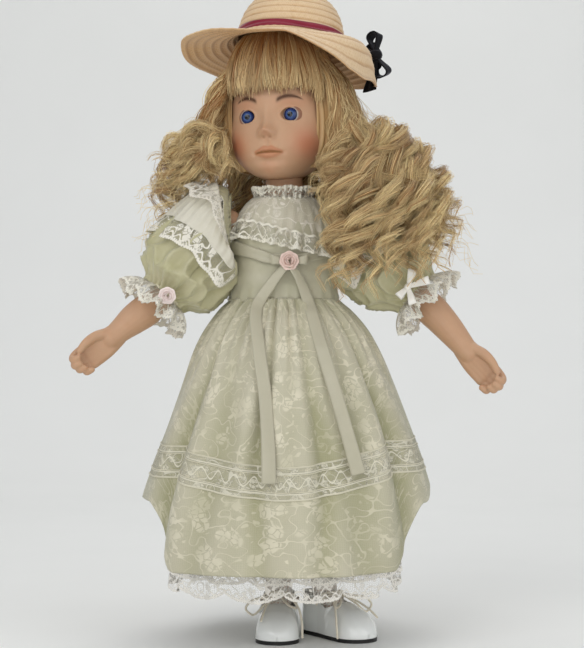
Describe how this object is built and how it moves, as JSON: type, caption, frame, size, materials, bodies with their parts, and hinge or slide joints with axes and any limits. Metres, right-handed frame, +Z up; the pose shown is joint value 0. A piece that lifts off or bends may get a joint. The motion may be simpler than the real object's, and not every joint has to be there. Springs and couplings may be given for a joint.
{
  "type": "porcelain doll",
  "caption": "Dressed doll with a porcelain head and limbs on a cloth body, in a lace-covered dress, straw hat, socks and tie shoes, with a turning neck and posable arms and legs",
  "frame": {"origin": "On the floor, midway between the front and back of the body and on the axis the head turns about", "axes": "+Z up, the doll faces -Y, +X is the doll's left"},
  "size_m": [0.265, 0.1834, 0.4238],
  "materials": {
    "bisque": "matt painted bisque",
    "bisque_plain": "matt unglazed bisque",
    "card": "rough",
    "net": "stretch net",
    "hair": "satin fibre",
    "eye_glass": "polished",
    "plaster": "rough",
    "steel": "bright drawn wire",
    "straw": "plaited straw",
    "wine_ribbon": "satin",
    "black_velvet": "velvet",
    "body_cloth": "plain cotton",
    "fibre": "fibre filling",
    "mint_satin": "satin",
    "mint_lace": "floral lace",
    "white_lace": "lace",
    "ivory_satin": "satin",
    "pink_satin": "satin",
    "white_cotton": "plain cotton",
    "shoe_white": "glossy coated leatherette",
    "sole_black": "matt",
    "eyelet_brass": "aged",
    "lace_cord": "cotton cord"
  },
  "bodies": {
    "torso": {"shoulder_plate": "bisque_plain", "shoulder_wire": "steel", "torso_cover": "body_cloth", "torso_stuffing": "fibre", "bodice": "mint_satin", "collar_lace": "white_lace", "neck_lace": "white_lace", "waist_ribbon": "ivory_satin", "ribbon_rose": "pink_satin", "ribbon_tails": "ivory_satin", "skirt_satin": "mint_satin", "skirt_lace": "mint_lace", "skirt_band": "white_lace", "petticoat": "white_cotton", "petticoat_lace": "white_lace", "dress_snaps": "steel", "hair_back": "hair", "hair_left": "hair", "hair_right": "hair"},
    "head": {"head": "bisque", "crown_pate": "card", "wig_cap": "net", "wig_crown": "hair", "right_eye": "eye_glass", "left_eye": "eye_glass", "eye_plaster": "plaster", "neck_bolt": "steel", "neck_spring": "steel", "neck_nut": "steel"},
    "hat": {"straw_hat": "straw", "hat_band": "wine_ribbon", "hat_bow": "black_velvet"},
    "right_upper_arm": {"right_upper_arm": "body_cloth", "right_arm_wire": "steel", "right_sleeve": "mint_satin", "right_cuff_lace": "white_lace", "right_cuff_bow": "ivory_satin", "right_flounce": "white_lace"},
    "right_forearm": {"right_forearm": "bisque"},
    "right_leg": {"right_thigh": "body_cloth", "right_lower_leg": "bisque_plain", "right_sock": "white_lace", "right_shoe_upper": "shoe_white", "right_shoe_sole": "sole_black", "right_shoe_eyelets": "eyelet_brass", "right_shoe_lace": "lace_cord"},
    "left_upper_arm": {"left_upper_arm": "body_cloth", "left_arm_wire": "steel", "left_sleeve": "mint_satin", "left_cuff_lace": "white_lace", "left_cuff_bow": "ivory_satin", "left_flounce": "white_lace"},
    "left_forearm": {"left_forearm": "bisque"},
    "left_leg": {"left_thigh": "body_cloth", "left_lower_leg": "bisque_plain", "left_sock": "white_lace", "left_shoe_upper": "shoe_white", "left_shoe_sole": "sole_black", "left_shoe_eyelets": "eyelet_brass", "left_shoe_lace": "lace_cord"}
  },
  "joints": [
    {"name": "neck_turn", "type": "hinge", "parent": "torso", "child": "head", "pos_m": [0, 0, 0.298], "axis": [0, 0, 1], "range_deg": [-35, 60]},
    {"name": "hat_lift", "type": "slide", "parent": "head", "child": "hat", "axis": [0, 0.1564, 0.9877], "range_m": [0, 0.1]},
    {"name": "right_shoulder", "type": "hinge", "parent": "torso", "child": "right_upper_arm", "pos_m": [-0.036, 0, 0.272], "axis": [0, 1, 0], "range_deg": [-8, 45], "deforming": ["right_sleeve", "right_flounce"]},
    {"name": "left_shoulder", "type": "hinge", "parent": "torso", "child": "left_upper_arm", "pos_m": [0.036, 0, 0.272], "axis": [0, -1, 0], "range_deg": [-8, 26], "deforming": ["left_sleeve", "left_flounce"]},
    {"name": "right_elbow", "type": "hinge", "parent": "right_upper_arm", "child": "right_forearm", "pos_m": [-0.081, -0.012, 0.221], "axis": [-0.636, 0, 0.7717], "range_deg": [-10, 25]},
    {"name": "left_elbow", "type": "hinge", "parent": "left_upper_arm", "child": "left_forearm", "pos_m": [0.089, -0.012, 0.223], "axis": [-0.7682, 0, -0.6402], "range_deg": [-10, 25]},
    {"name": "right_hip", "type": "hinge", "parent": "torso", "child": "right_leg", "pos_m": [-0.015, 0, 0.186], "axis": [1, 0, 0], "range_deg": [-10, 12]},
    {"name": "left_hip", "type": "hinge", "parent": "torso", "child": "left_leg", "pos_m": [0.015, 0, 0.186], "axis": [1, 0, 0], "range_deg": [-10, 12]}
  ]
}
